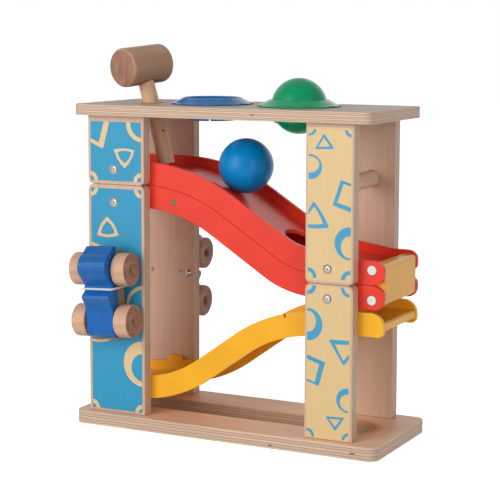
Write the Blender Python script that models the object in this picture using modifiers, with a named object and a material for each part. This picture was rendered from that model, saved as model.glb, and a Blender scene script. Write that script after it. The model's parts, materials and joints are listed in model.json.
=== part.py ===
"""A folding pound-and-race tower: a wooden pounding bench that opens into a long double ramp.

The lower unit is a plywood base with four upright panels, a red ramp and a yellow return ramp.
The upper unit stands on it, held by a double hinge at the right: a top board with two ball rings,
four short panels and a second red ramp. A mallet, two balls and two cars on elastic cords go with it.

Metres, +Z up, X to the right, the front towards -Y. The origin is under the middle of the base.
"""
import math

import bmesh
import bpy
from mathutils import Matrix, Vector

# Clearances between pieces
GAP = 0.0003                # between faces that touch on the real thing
RUNNING = 0.0003            # round a pin, axle or dowel
HOLE_MARGIN = 0.002         # how far a cutter runs past the wall that it cuts

# Base board
BASE_LENGTH = 0.300
BASE_DEPTH = 0.120
BASE_THICK = 0.012
SLOT_WIDTH = 0.037
SLOT_MARGIN = 0.026         # wood left between the slot's round ends and the base's ends
BOARD_CORNER = 0.009        # radius of the boards' upright corners
BOARD_EDGE = 0.0022         # rounding of the boards' long edges

# Top board
TOWER_HEIGHT = 0.295
TOP_SHORT = 0.007           # how far the top board ends before the base's right end
TOP_THICK = 0.010
MALLET_HOLE_RADIUS = 0.0105

# Upright panels
PANEL_THICK = 0.011
PANEL_SETBACK = 0.008       # from the base's long edge to the panel's outer face
LEFT_INSET = 0.012
LEFT_WIDTH = 0.0585
RIGHT_INSET = 0.0252
RIGHT_WIDTH = 0.0445
SPLIT_CORNER = 0.005        # rounding of the panel corners where the two units meet
PANEL_EDGE = 0.001

# The line on which the upper unit meets the lower one
LEFT_SPLIT_DROP = 0.0725    # from the top board's face
CREST_PAST_PANEL = 0.0359   # from the left panels to where the level and steep runs' lines cross
CREST_RADIUS = 0.150
FOOT_BEFORE_PANEL = 0.0214
FOOT_RISE = 0.0097          # above the right end of the line
FOOT_RADIUS = 0.070
LEVEL_RUN = 0.0145          # from the corner of the level run to the hinge's pins
LEVEL_RADIUS = 0.050

# Red ramps
RAMP_CLEAR = 0.0004         # between a ramp's side and the panel beside it
RAMP_HEIGHT = 0.0208
RAMP_WALL = 0.004
RAMP_FLOOR = 0.003
BALL_SIDE_DEPTH = 0.0083    # from a side wall's upper edge down to the floor
RAMP_LEFT_END = 0.0115      # from the base's left end
RAMP_RIGHT_END = 0.0017     # from the base's right end
LUG_CORNER = 0.008
DROP_HOLE_PAST_FOOT = 0.0061
DROP_HOLE_RADIUS = 0.026
END_WALL = 0.003
FLOOR_INSET = 0.0006        # from the side walls' ends to the floors' ends
ARC_STEPS = 8

# Yellow return ramp: the corners of its lower edge, from the left panels, the right panels,
# the base board's face and the right end of the meeting line
RETURN_LEFT_RISE = 0.0080
RETURN_FOOT_PAST = 0.0320
RETURN_FOOT_RISE = 0.0176
RETURN_FOOT_RADIUS = 0.130
RETURN_CREST_BEFORE = 0.03555
RETURN_CREST_DROP = 0.0519
RETURN_CREST_RADIUS = 0.120
RETURN_LEVEL_DROP = 0.0445
RETURN_LEVEL_RADIUS = 0.060
RETURN_HEIGHT = 0.0208
RETURN_WALL = 0.004
RETURN_FLOOR = 0.003
RETURN_DEPTH = 0.0088
RETURN_NOSE = 0.012         # radius of the upper corner at the right end
RETURN_HEEL = 0.005
LIP_DROP = 0.003
TAB_X = -0.098
TAB_WIDTH = 0.016
TAB_HEIGHT = 0.0045
PEG_RADIUS = 0.003
PEG_LENGTH = 0.0042
SIDE_HOLE_X = 0.056
SIDE_HOLE_RADIUS = 0.0017

# Double hinge
PIN_INSET = 0.013           # from the base's right end
PIN_SPACING = 0.0258
PIN_RADIUS = 0.0042
PIN_PROUD = 0.0003
LINK_BACK = 0.004           # from the pins' plane to the link's road face
LINK_FRONT = 0.0105
LINK_OVERHANG = 0.0048      # above the upper pin and below the lower one
LINK_CORNER = 0.0035
LINK_SIDE_GAP = 0.0008
FLOOR_TO_LINK = 0.0023

# Cross dowel between the right upper panels
DOWEL_RADIUS = 0.0073
DOWEL_DROP = 0.065          # below the top board's face
DOWEL_SOCKET = 0.006

# Ball rings and balls
RING_X = (-0.0378, 0.0495)
BALL_RADIUS = 0.025
BALL_RISE = 0.0004          # ball centre above the top board's face
RING_FLANGE = 0.0365
RING_WAVE = 0.0009          # how far the flange's wavy edge goes in and out
RING_WAVES = 12
RING_SEAT = 0.0014
CROWN_FOOT = 0.0345
CROWN_HEIGHT = 0.0062
CROWN_WALL = 0.0018
PETAL_DROP = 0.0143
PETAL_WALL = 0.0014
PETALS = 8
SLIT_WIDTH = 0.0012
RING_BORE_CLEAR = 0.0004
RING_STEPS = 48
ROLLED_PAST_CREST = 0.0407  # where the loose ball is on the upper ramp

# Mallet
HANDLE_LEAN = 16.33         # degrees from upright
HANDLE_TOE_INSET = 0.0056   # from the left panels' edge
HANDLE_RADIUS = 0.0075
HANDLE_IN_HEAD = 0.009      # how far the handle goes past the head's middle
HEAD_RADIUS = 0.018
HEAD_LENGTH = 0.050
HEAD_CHAMFER = 0.0035
HEAD_TURN = 17.0            # degrees, about the handle
HEAD_ABOVE_BOARD = 0.0354   # from the top board's face to the head's middle, along the handle

# Cars
CAR_RISE = 0.0067           # of the axles' middle above the lower panel's middle
AXLE_SPACING = 0.047
WHEEL_RADIUS = 0.015
WHEEL_WIDTH = 0.0142
WHEEL_CHAMFER = 0.0012
AXLE_RADIUS = 0.004
AXLE_RECESS = 0.004
CAR_HALF_WIDTH = 0.0142
WHEEL_SIDE_GAP = 0.0008
CHASSIS_BACK = 0.006        # from the panel to the natural wood strip
CHASSIS_FRONT = 0.0168
CHASSIS_HALF_LENGTH = 0.0405
CAR_EDGE = 0.0011
# Side view of the car body: distances from the panel and heights from the axles' middle
CAR_ROOF = 0.0445
CAR_ROOF_DEPTH = 0.0215
CAR_BROW = (0.0255, 0.0265)
CAR_BROW_RADIUS = 0.0125
CAR_WAIST = (0.0030, -0.0020)
CAR_PEAK = ((0.0330, 0.0015), (0.0335, -0.0012))
CAR_BONNET = ((0.0298, -0.0060), (0.0272, -0.0130))
CAR_NOSE_RADIUS = 0.009
CAR_TAIL = 0.0385
CORD_RADIUS = 0.001
CORD_RISE = 0.0070          # above the middle of the axles
WAIST_DEPTH = 0.0274
CORD_BEND = 0.0022
CORD_END = 0.0045           # of the elastic beside each panel hole
CAR_SHIFT = {"blue": -0.0022, "green": -0.0012}
CAR_LEAN = {"blue": -2.8, "green": 1.4}

# Screws
SCREW_HEAD = 0.0037
SCREW_SHANK = 0.0015
SCREW_LENGTH = 0.0145
LEFT_SCREWS = {"across": -0.0022, "upper": 0.0139, "lower": -0.0160}   # from the panels' middle
RIGHT_SCREWS = {"across": -0.0016, "upper": 0.0130, "lower": -0.0127}  # and from the split
ANCHOR_HEAD = 0.0035
ANCHOR_RISE = 0.0024
ANCHOR_LENGTH = 0.008
ANCHOR_GAP = 0.0003
FOOT_SCREW_LENGTH = 0.026
SIDE_RIVET_PAST = 0.0251     # from the left panels' edge
SIDE_RIVET_DROP = 0.0105     # below the meeting line
SIDE_RIVET_HEAD = 0.0021
SIDE_RIVET_RISE = 0.0004

# Places worked out from the sizes above
BASE_HALF = BASE_LENGTH / 2
DEPTH_HALF = BASE_DEPTH / 2
TOP_UNDER = TOWER_HEIGHT - TOP_THICK
TOP_LEFT = -BASE_HALF
TOP_RIGHT = BASE_HALF - TOP_SHORT
PANEL_OUT = DEPTH_HALF - PANEL_SETBACK
PANEL_IN = PANEL_OUT - PANEL_THICK
LEFT_X = (-BASE_HALF + LEFT_INSET, -BASE_HALF + LEFT_INSET + LEFT_WIDTH)
RIGHT_X = (BASE_HALF - RIGHT_INSET - RIGHT_WIDTH, BASE_HALF - RIGHT_INSET)
RAMP_HALF = PANEL_IN - RAMP_CLEAR
RAMP_START = -BASE_HALF + RAMP_LEFT_END
RAMP_END = BASE_HALF - RAMP_RIGHT_END
PIN_X = BASE_HALF - PIN_INSET
LEFT_SPLIT = TOWER_HEIGHT - LEFT_SPLIT_DROP
RIGHT_SPLIT = TOWER_HEIGHT / 2      # so that the folded unit lies level with the base
PIN_Z = {"lower": RIGHT_SPLIT - PIN_SPACING / 2, "upper": RIGHT_SPLIT + PIN_SPACING / 2}
CREST_X = LEFT_X[1] + CREST_PAST_PANEL
FOOT_X = RIGHT_X[0] - FOOT_BEFORE_PANEL
FOOT_Z = RIGHT_SPLIT + FOOT_RISE
DROP_HOLE_X = FOOT_X + DROP_HOLE_PAST_FOOT
RETURN_LEFT = (RAMP_START, BASE_THICK + RETURN_LEFT_RISE)
RETURN_FOOT = (LEFT_X[1] + RETURN_FOOT_PAST, BASE_THICK + RETURN_FOOT_RISE)
RETURN_CREST = (RIGHT_X[0] - RETURN_CREST_BEFORE, RIGHT_SPLIT - RETURN_CREST_DROP)
RETURN_LEVEL = (PIN_X - LEVEL_RUN, RIGHT_SPLIT - RETURN_LEVEL_DROP)
DOWEL_Z = TOWER_HEIGHT - DOWEL_DROP
CAR_AXLE_Z = (BASE_THICK + LEFT_SPLIT) / 2 + CAR_RISE
LINK_HALF = RAMP_HALF - RAMP_WALL - LINK_SIDE_GAP

COLOURS = {
    "birch": ((0.80, 0.66, 0.50), 0.55, 0.0),
    "printed_blue": ((0.09, 0.42, 0.60), 0.5, 0.0),
    "printed_natural": ((0.78, 0.60, 0.38), 0.5, 0.0),
    "red_plastic": ((0.85, 0.10, 0.06), 0.35, 0.0),
    "yellow_plastic": ((0.95, 0.47, 0.03), 0.35, 0.0),
    "blue_plastic": ((0.03, 0.20, 0.50), 0.35, 0.0),
    "green_plastic": ((0.0, 0.32, 0.14), 0.35, 0.0),
    "blue_paint": ((0.0, 0.20, 0.53), 0.25, 0.0),
    "green_paint": ((0.0, 0.33, 0.14), 0.25, 0.0),
    "beech": ((0.66, 0.43, 0.25), 0.55, 0.0),
    "steel": ((0.75, 0.75, 0.76), 0.3, 1.0),
    "elastic": ((0.88, 0.88, 0.86), 0.8, 0.0),
}


def clear_scene():
    for obj in list(bpy.data.objects):
        bpy.data.objects.remove(obj, do_unlink=True)


def new_collection(name):
    made = bpy.data.collections.new(name)
    bpy.context.scene.collection.children.link(made)
    return made


def material(slot):
    """One Principled material for each finish, made the first time it is asked for."""
    if slot in bpy.data.materials:
        return bpy.data.materials[slot]
    made = bpy.data.materials.new(slot)
    made.use_nodes = True
    colour, roughness, metallic = COLOURS[slot]
    shader = made.node_tree.nodes["Principled BSDF"]
    shader.inputs["Base Color"].default_value = (*colour, 1.0)
    shader.inputs["Roughness"].default_value = roughness
    shader.inputs["Metallic"].default_value = metallic
    return made


def finish_part(obj, name, slot):
    """Names a sub-part, gives it its material and puts it with the parts."""
    for holder in list(obj.users_collection):
        holder.objects.unlink(obj)
    PARTS.objects.link(obj)
    obj.name = name
    obj.data.name = name
    obj.data.materials.clear()
    obj.data.materials.append(material(slot))
    return obj


def cutter(obj):
    """A helper shape that is only subtracted or added."""
    for holder in list(obj.users_collection):
        holder.objects.unlink(obj)
    CUTTERS.objects.link(obj)
    obj.hide_render = True
    obj.display_type = "WIRE"
    return obj


def object_from(mesh, name, matrix=Matrix()):
    obj = bpy.data.objects.new(name, mesh)
    bpy.context.scene.collection.objects.link(obj)
    obj.matrix_world = matrix
    return obj


def combine(obj, other, operation):
    step = obj.modifiers.new(other.name, "BOOLEAN")
    step.operation = operation
    step.solver = "EXACT"
    step.object = other


def cut(obj, *shapes):
    for shape in shapes:
        combine(obj, shape, "DIFFERENCE")


def join(obj, *shapes):
    for shape in shapes:
        combine(obj, shape, "UNION")


def bevel(obj, width, segments=2, angle=50.0):
    step = obj.modifiers.new("rounded edges", "BEVEL")
    step.width = width
    step.segments = segments
    step.limit_method = "ANGLE"
    step.angle_limit = math.radians(angle)
    step.harden_normals = False


def smooth(obj, angle=35.0):
    obj.data.shade_smooth()
    obj.data.set_sharp_from_angle(angle=math.radians(angle))


def cylinder(name, radius, low, high, segments=24, top_radius=None):
    """A round solid between two points, or a cone where the far radius differs."""
    low, high = Vector(low), Vector(high)
    form = bmesh.new()
    far = radius if top_radius is None else top_radius
    bmesh.ops.create_cone(form, cap_ends=True, segments=segments, radius1=radius, radius2=far,
                          depth=(high - low).length)
    mesh = bpy.data.meshes.new(name)
    form.to_mesh(mesh)
    form.free()
    turn = Vector((0, 0, 1)).rotation_difference(high - low).to_matrix().to_4x4()
    return object_from(mesh, name, Matrix.Translation((low + high) / 2) @ turn)


def block(name, low, high):
    """A box between its two opposite corners."""
    form = bmesh.new()
    bmesh.ops.create_cube(form, size=1.0)
    size = [b - a for a, b in zip(low, high)]
    bmesh.ops.scale(form, vec=size, verts=form.verts)
    bmesh.ops.translate(form, vec=[(a + b) / 2 for a, b in zip(low, high)], verts=form.verts)
    mesh = bpy.data.meshes.new(name)
    form.to_mesh(mesh)
    form.free()
    return object_from(mesh, name)


def turned(name, profile, steps=24):
    """A profile of (radius, height) points, outer side from top to bottom, turned about Z."""
    mesh = bpy.data.meshes.new(name)
    points = [(radius, 0.0, height) for radius, height in profile]
    edges = [(i, (i + 1) % len(points)) for i in range(len(points))]
    if profile[0][0] == 0.0:
        edges = edges[:-1]
    mesh.from_pydata(points, edges, [])
    obj = object_from(mesh, name)
    step = obj.modifiers.new("turned", "SCREW")
    step.axis = "Z"
    step.steps = steps
    step.render_steps = steps
    step.use_merge_vertices = True
    step.merge_threshold = 0.00001
    return obj


def slab(name, outline, half_thickness, upright=False):
    """A flat outline extruded both ways: along Z, or along Y when upright."""
    curve = bpy.data.curves.new(name, "CURVE")
    curve.dimensions = "2D"
    curve.fill_mode = "BOTH"
    curve.extrude = half_thickness
    spline = curve.splines.new("POLY")
    spline.points.add(len(outline) - 1)
    for point, (u, v) in zip(spline.points, outline):
        point.co = (u, v, 0.0, 1.0)
    spline.use_cyclic_u = True
    drawn = object_from(curve, name)
    if upright:
        drawn.matrix_world = Matrix.Rotation(math.radians(90), 4, "X")
    return to_mesh(drawn, name)


def to_mesh(drawn, name):
    """Turns a curve object into a mesh object with welded caps, in the same place."""
    place = drawn.matrix_world.copy()
    graph = bpy.context.evaluated_depsgraph_get()
    mesh = bpy.data.meshes.new_from_object(drawn.evaluated_get(graph))
    form = bmesh.new()
    form.from_mesh(mesh)
    bmesh.ops.remove_doubles(form, verts=form.verts, dist=0.000001)
    bmesh.ops.recalc_face_normals(form, faces=form.faces)
    form.to_mesh(mesh)
    form.free()
    bpy.data.objects.remove(drawn, do_unlink=True)
    return object_from(mesh, name, place)


def arc(centre, radius, start, end, steps):
    """Points on a circle from one angle to another, in degrees."""
    points = []
    for i in range(steps + 1):
        angle = math.radians(start + (end - start) * i / steps)
        points.append((centre[0] + radius * math.cos(angle), centre[1] + radius * math.sin(angle)))
    return points


def rounded_box(low, high, radii, steps=4):
    """A rectangle's outline, anticlockwise from its lower left corner, with four corner radii."""
    corners = [((low[0], low[1]), 180), ((high[0], low[1]), 270),
               ((high[0], high[1]), 0), ((low[0], high[1]), 90)]
    inward = [(1, 1), (-1, 1), (-1, -1), (1, -1)]
    outline = []
    for (corner, start), (sx, sy), radius in zip(corners, inward, radii):
        if radius <= 0.0:
            outline.append(corner)
            continue
        centre = (corner[0] + sx * radius, corner[1] + sy * radius)
        outline += arc(centre, radius, start, start + 90, steps)
    return outline


def route(corners, radii):
    """A line of straight runs whose inner corners are arcs: points with their unit normals."""
    path = []
    vectors = [Vector(corner) for corner in corners]
    path.append(vectors[0])
    for before, corner, after, radius in zip(vectors, vectors[1:], vectors[2:], radii):
        a, b = (before - corner).normalized(), (after - corner).normalized()
        half = a.angle(b) / 2
        reach = radius / math.tan(half)
        centre = corner + (a + b).normalized() * (radius / math.sin(half))
        start, end = corner + a * reach - centre, corner + b * reach - centre
        turn = math.atan2(start.cross(end), start.dot(end))
        for i in range(ARC_STEPS + 1):
            path.append(centre + Matrix.Rotation(turn * i / ARC_STEPS, 2) @ start)
    path.append(vectors[-1])
    normals = []
    for i in range(len(path)):
        along = path[min(i + 1, len(path) - 1)] - path[max(i - 1, 0)]
        normals.append(Vector((-along.y, along.x)).normalized())
    return list(zip(path, normals))


def offset(path, distance):
    return [tuple(point + normal * distance) for point, normal in path]


def between(path, x, distance):
    """Height of the line at a distance above the route, at a given X."""
    points = offset(path, distance)
    for (xa, za), (xb, zb) in zip(points, points[1:]):
        if xa <= x <= xb:
            return za + (zb - za) * (x - xa) / (xb - xa)
    return points[-1][1]


def meeting_line(start_x, end_x):
    """The line on which the two red ramps meet, between two places along it."""
    corners = [(start_x, LEFT_SPLIT), (CREST_X, LEFT_SPLIT), (FOOT_X, FOOT_Z),
               (PIN_X - LEVEL_RUN, RIGHT_SPLIT), (end_x, RIGHT_SPLIT)]
    return route(corners, [CREST_RADIUS, FOOT_RADIUS, LEVEL_RADIUS])


def boards():
    """The base with its long slot, and the top board with the mallet's hole and the ring bores."""
    outline = rounded_box((-BASE_HALF, -DEPTH_HALF), (BASE_HALF, DEPTH_HALF), [BOARD_CORNER] * 4, 6)
    base = slab("base_board", outline, BASE_THICK / 2)
    base.location.z = BASE_THICK / 2
    bevel(base, BOARD_EDGE)
    half = SLOT_WIDTH / 2
    slot_outline = rounded_box((-BASE_HALF + SLOT_MARGIN, -half), (BASE_HALF - SLOT_MARGIN, half),
                               [half * 0.999] * 4, 6)
    slot = cutter(slab("slot_cutter", slot_outline, BASE_THICK))
    cut(base, slot)
    finish_part(base, "base_board", "birch")

    outline = rounded_box((TOP_LEFT, -DEPTH_HALF), (TOP_RIGHT, DEPTH_HALF), [BOARD_CORNER] * 4, 6)
    top = slab("top_board", outline, TOP_THICK / 2)
    top.location.z = TOWER_HEIGHT - TOP_THICK / 2
    bevel(top, BOARD_EDGE)
    low, high = TOP_UNDER - HOLE_MARGIN, TOWER_HEIGHT + HOLE_MARGIN
    for i, x in enumerate(RING_X):
        cut(top, cutter(cylinder(f"ring_bore_{i}", ring_barrel() + RING_BORE_CLEAR,
                                 (x, 0, low), (x, 0, high), RING_STEPS)))
    x = handle_x(TOWER_HEIGHT - TOP_THICK / 2)
    cut(top, cutter(cylinder("mallet_hole", MALLET_HOLE_RADIUS, (x, 0, low), (x, 0, high))))
    finish_part(top, "top_board", "birch")
    return base, top


def panel(name, span, heights, side, split_at, slot):
    """An upright plywood panel whose two corners at the split are rounded."""
    low, high = (span[0], heights[0]), (span[1], heights[1])
    corner = SPLIT_CORNER
    radii = [0, 0, corner, corner] if split_at == "top" else [corner, corner, 0, 0]
    board = slab(name, rounded_box(low, high, radii), PANEL_THICK / 2, upright=True)
    board.location.y = side * (PANEL_IN + PANEL_THICK / 2)
    bevel(board, PANEL_EDGE, 1)
    return finish_part(board, name, slot)


def panels():
    """Four panels of each unit: the front ones are printed."""
    made = {}
    half = GAP / 2
    for side_name, side in (("front", -1), ("rear", 1)):
        for end, span, split, print_slot in (("left", LEFT_X, LEFT_SPLIT, "printed_blue"),
                                             ("right", RIGHT_X, RIGHT_SPLIT, "printed_natural")):
            for unit in ("lower", "upper"):
                heights = (BASE_THICK + GAP, split - half)
                if unit == "upper":
                    heights = (split + half, TOP_UNDER - GAP)
                name = f"{side_name}_{end}_{unit}_panel"
                split_at = "top" if unit == "lower" else "bottom"
                slot = print_slot
                made[name] = panel(name, span, heights, side, split_at, slot)
    return made


def lug(unit):
    """Outline of a ramp's right end round its hinge pin, from the meeting line outwards."""
    sign = 1 if unit == "upper" else -1
    pin = (PIN_X, PIN_Z[unit])
    radius = PIN_SPACING / 2 - GAP / 2
    reach = math.degrees(math.acos((RAMP_END - PIN_X) / radius))
    near = arc(pin, radius, -90, -reach, 5)
    far_z = RIGHT_SPLIT + sign * (GAP / 2 + RAMP_HEIGHT)
    corner = (RAMP_END - LUG_CORNER, far_z - sign * LUG_CORNER)
    far = arc(corner, LUG_CORNER, 0, 90, 4)
    if sign < 0:
        near = [(x, 2 * pin[1] - z) for x, z in near]
        far = [(x, 2 * corner[1] - z) for x, z in far]
    return near + far


def walls(name, outline, half_width, wall):
    """Two equal side walls from one outline, front and rear."""
    made = []
    for side_name, side in (("front", -1), ("rear", 1)):
        plate = slab(f"{name}_{side_name}_wall", outline, wall / 2, upright=True)
        plate.location.y = side * (half_width - wall / 2)
        made.append(plate)
    return made


def strip(name, path, low, high, half_width):
    """A floor that follows a route between two distances from it."""
    outline = offset(path, low) + offset(path, high)[::-1]
    return slab(name, outline, half_width, upright=True)


def red_ramp(unit):
    """A red ramp: two side walls with hinge lugs and a floor between them that has a drop hole."""
    sign = 1 if unit == "upper" else -1
    path = meeting_line(RAMP_START, PIN_X)
    near, far = sign * GAP / 2, sign * (GAP / 2 + RAMP_HEIGHT)
    outline = offset(path, near)[:-1] + lug(unit) + offset(path, far)[:-1][::-1]
    front, rear = walls(f"{unit}_ramp", outline, RAMP_HALF, RAMP_WALL)

    floor_top = far - BALL_SIDE_DEPTH if unit == "upper" else near - BALL_SIDE_DEPTH
    floor_path = meeting_line(RAMP_START + FLOOR_INSET, PIN_X - LINK_BACK - FLOOR_TO_LINK)
    inner = RAMP_HALF - RAMP_WALL / 2
    floor = cutter(strip(f"{unit}_floor", floor_path, floor_top - RAMP_FLOOR, floor_top, inner))
    join(front, cutter(rear), floor)
    if unit == "upper":
        foot = LEFT_SPLIT + floor_top - RAMP_FLOOR / 2
        wall = cutter(block("upper_end_wall", (RAMP_START + FLOOR_INSET / 2, -inner, foot),
                            (RAMP_START + END_WALL, inner, LEFT_SPLIT + far - BOARD_EDGE)))
        join(front, wall)
    hole = cutter(cylinder(f"{unit}_drop_hole", DROP_HOLE_RADIUS,
                           (DROP_HOLE_X, 0, FOOT_Z - RAMP_HEIGHT * 2),
                           (DROP_HOLE_X, 0, FOOT_Z + RAMP_HEIGHT * 3), 32))
    bore = cutter(cylinder(f"{unit}_pin_bore", PIN_RADIUS + RUNNING,
                           (PIN_X, -DEPTH_HALF, PIN_Z[unit]), (PIN_X, DEPTH_HALF, PIN_Z[unit])))
    cut(front, hole, bore)
    return finish_part(front, f"{unit}_ramp", "red_plastic")


def return_path(start_x, end_x):
    """The return ramp's lower edge, between two places along it."""
    slope = (RETURN_FOOT[1] - RETURN_LEFT[1]) / (RETURN_FOOT[0] - RETURN_LEFT[0])
    start = (start_x, RETURN_LEFT[1] + slope * (start_x - RETURN_LEFT[0]))
    corners = [start, RETURN_FOOT, RETURN_CREST, RETURN_LEVEL, (end_x, RETURN_LEVEL[1])]
    return route(corners, [RETURN_FOOT_RADIUS, RETURN_CREST_RADIUS, RETURN_LEVEL_RADIUS])


def peg_places():
    """Middle of each pair of pegs that holds the return ramp in the panels."""
    path = return_path(RETURN_LEFT[0], RAMP_END)
    return [(x, between(path, x, RETURN_HEIGHT / 2)) for x in (sum(LEFT_X) / 2, sum(RIGHT_X) / 2)]


def return_ramp():
    """The yellow ramp: it carries the balls back to the left, and hangs on moulded pegs."""
    path = return_path(RETURN_LEFT[0], RAMP_END)
    top = RETURN_LEVEL[1] + RETURN_HEIGHT
    heel = arc((RAMP_END - RETURN_HEEL, RETURN_LEVEL[1] + RETURN_HEEL), RETURN_HEEL, 270, 360, 3)
    nose = arc((RAMP_END - RETURN_NOSE, top - RETURN_NOSE), RETURN_NOSE, 0, 90, 5)
    outline = offset(path, 0)[:-1] + heel + nose + offset(path, RETURN_HEIGHT)[:-1][::-1]
    front, rear = walls("return_ramp", outline, RAMP_HALF, RETURN_WALL)
    floor_top = RETURN_HEIGHT - RETURN_DEPTH
    inner = RAMP_HALF - RETURN_WALL / 2
    lip_x = RAMP_END - RETURN_FLOOR / 4
    floor_path = return_path(RETURN_LEFT[0] + FLOOR_INSET, lip_x - RETURN_FLOOR / 2)
    floor = strip("return_floor", floor_path, floor_top - RETURN_FLOOR, floor_top, inner)
    lip_top = RETURN_LEVEL[1] + floor_top - RETURN_FLOOR / 4
    lip = block("return_lip", (lip_x - RETURN_FLOOR, -inner, lip_top - RETURN_FLOOR - LIP_DROP),
                (lip_x, inner, lip_top))
    tab_foot = between(path, TAB_X, RETURN_HEIGHT)
    inset = RETURN_WALL / 8
    tab = block("return_tab",
                (TAB_X - TAB_WIDTH / 2, RAMP_HALF - RETURN_WALL + inset, tab_foot - TAB_HEIGHT),
                (TAB_X + TAB_WIDTH / 2, RAMP_HALF - inset, tab_foot + TAB_HEIGHT))
    join(front, cutter(rear), cutter(floor), cutter(lip), cutter(tab))
    for i, (x, z) in enumerate(peg_places()):
        for side in (-1, 1):
            peg = cylinder(f"peg_{i}_{side}", PEG_RADIUS, (x, side * (RAMP_HALF - RETURN_WALL / 2), z),
                           (x, side * (RAMP_HALF + PEG_LENGTH), z), 16)
            join(front, cutter(peg))
    side_z = between(path, SIDE_HOLE_X, RETURN_HEIGHT / 2 + RETURN_DEPTH)
    cut(front, cutter(cylinder("side_hole", SIDE_HOLE_RADIUS, (SIDE_HOLE_X, -DEPTH_HALF, side_z),
                               (SIDE_HOLE_X, -RAMP_HALF + RETURN_WALL * 1.5, side_z), 12)))
    return finish_part(front, "return_ramp", "yellow_plastic")


def hinge():
    """The ochre link block between the lugs, and its two steel pins."""
    low = (PIN_X - LINK_BACK, PIN_Z["lower"] - LINK_OVERHANG)
    high = (PIN_X + LINK_FRONT, PIN_Z["upper"] + LINK_OVERHANG)
    link = slab("hinge_link", rounded_box(low, high, [LINK_CORNER] * 4), LINK_HALF, upright=True)
    bevel(link, BOARD_EDGE / 2, 1)
    for unit in ("lower", "upper"):
        ends = [(PIN_X, side * (RAMP_HALF + PIN_PROUD), PIN_Z[unit]) for side in (-1, 1)]
        bore = [(PIN_X, side * DEPTH_HALF, PIN_Z[unit]) for side in (-1, 1)]
        cut(link, cutter(cylinder(f"link_bore_{unit}", PIN_RADIUS + RUNNING, *bore)))
        pin = cylinder(f"{unit}_hinge_pin", PIN_RADIUS, *ends)
        bevel(pin, PIN_RADIUS / 10, 1)
        finish_part(pin, f"{unit}_hinge_pin", "steel")
    finish_part(link, "hinge_link", "yellow_plastic")


def cross_dowel(sides):
    """The round rail between the two right upper panels, in blind sockets."""
    x = sum(RIGHT_X) / 2
    reach = PANEL_IN + DOWEL_SOCKET
    rail = cylinder("cross_dowel", DOWEL_RADIUS, (x, -reach + GAP, DOWEL_Z), (x, reach - GAP, DOWEL_Z))
    finish_part(rail, "cross_dowel", "birch")
    for side_name, side in (("front", -1), ("rear", 1)):
        socket = cylinder(f"dowel_socket_{side_name}", DOWEL_RADIUS + RUNNING,
                          (x, side * (PANEL_IN - HOLE_MARGIN), DOWEL_Z), (x, side * reach, DOWEL_Z))
        cut(sides[f"{side_name}_right_upper_panel"], cutter(socket))


def peg_holes(sides):
    for (x, z), end in zip(peg_places(), ("left", "right")):
        for side_name, side in (("front", -1), ("rear", 1)):
            hole = cylinder(f"peg_hole_{end}_{side_name}", PEG_RADIUS + RUNNING,
                            (x, side * (PANEL_IN - HOLE_MARGIN), z),
                            (x, side * (RAMP_HALF + PEG_LENGTH + GAP), z), 16)
            cut(sides[f"{side_name}_{end}_lower_panel"], cutter(hole))


def ring_barrel():
    """Outer radius of the part of a ring that goes down through the board."""
    return BALL_RADIUS + GAP + PETAL_WALL


def ball_radius_at(height, clearance):
    """Radius of the ball, grown by a clearance, at a height from its middle."""
    grown = BALL_RADIUS + clearance
    return math.sqrt(max(grown ** 2 - height ** 2, 0.0))


def ring_profile():
    """Half section of a ring: flange, crown, barrel and the petals that hold the ball."""
    crown = CROWN_HEIGHT
    inner = [(ball_radius_at(h - BALL_RISE, GAP), h)
             for h in [-PETAL_DROP + PETAL_DROP * i / 5 for i in range(6)]]
    lip = ball_radius_at(crown - BALL_RISE, GAP)
    outer_petal = [(ball_radius_at(h - BALL_RISE, GAP + PETAL_WALL), h)
                   for h in [-PETAL_DROP * i / 5 for i in range(1, 6)]]
    barrel = ring_barrel()
    rim = RING_FLANGE + RING_WAVE * 1.5
    top = [(lip + CROWN_WALL, crown), (CROWN_FOOT, RING_SEAT + GAP), (rim, RING_SEAT * 0.6 + GAP),
           (rim, GAP), (barrel, GAP)]
    return top + outer_petal + inner + [(lip, crown)]


def wavy_edge(name):
    """A thick disc with the flange's wavy edge, to trim the turned ring with."""
    outline = []
    for i in range(RING_STEPS * 2):
        angle = math.pi * i / RING_STEPS
        radius = RING_FLANGE + RING_WAVE * math.cos(RING_WAVES * angle)
        outline.append((radius * math.cos(angle), radius * math.sin(angle)))
    return slab(name, outline, BALL_RADIUS)


def ring(name, x, slot):
    """A ball ring with a wavy flange, whose barrel is slit into springy petals."""
    body = turned(name, ring_profile(), RING_STEPS)
    body.location = (x, 0, TOWER_HEIGHT)
    edge = wavy_edge(f"{name}_edge")
    edge.location = (x, 0, TOWER_HEIGHT)
    combine(body, cutter(edge), "INTERSECT")
    for i in range(PETALS // 2):
        slit = block(f"{name}_slit_{i}", (-BALL_RADIUS * 1.5, -SLIT_WIDTH / 2, -PETAL_DROP * 2),
                     (BALL_RADIUS * 1.5, SLIT_WIDTH / 2, -TOP_THICK / 2))
        slit.matrix_world = (Matrix.Translation((x, 0, TOWER_HEIGHT))
                             @ Matrix.Rotation(math.pi * (i + 0.5) / (PETALS // 2), 4, "Z"))
        cut(body, cutter(slit))
    smooth(body)
    return finish_part(body, name, slot)


def rolled_place():
    """Middle of the loose ball where it rolls over the crest of the upper ramp."""
    floor = GAP / 2 + RAMP_HEIGHT - BALL_SIDE_DEPTH
    x = CREST_X + ROLLED_PAST_CREST
    return x, 0, between(meeting_line(RAMP_START, PIN_X), x, floor + GAP + BALL_RADIUS)


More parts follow.
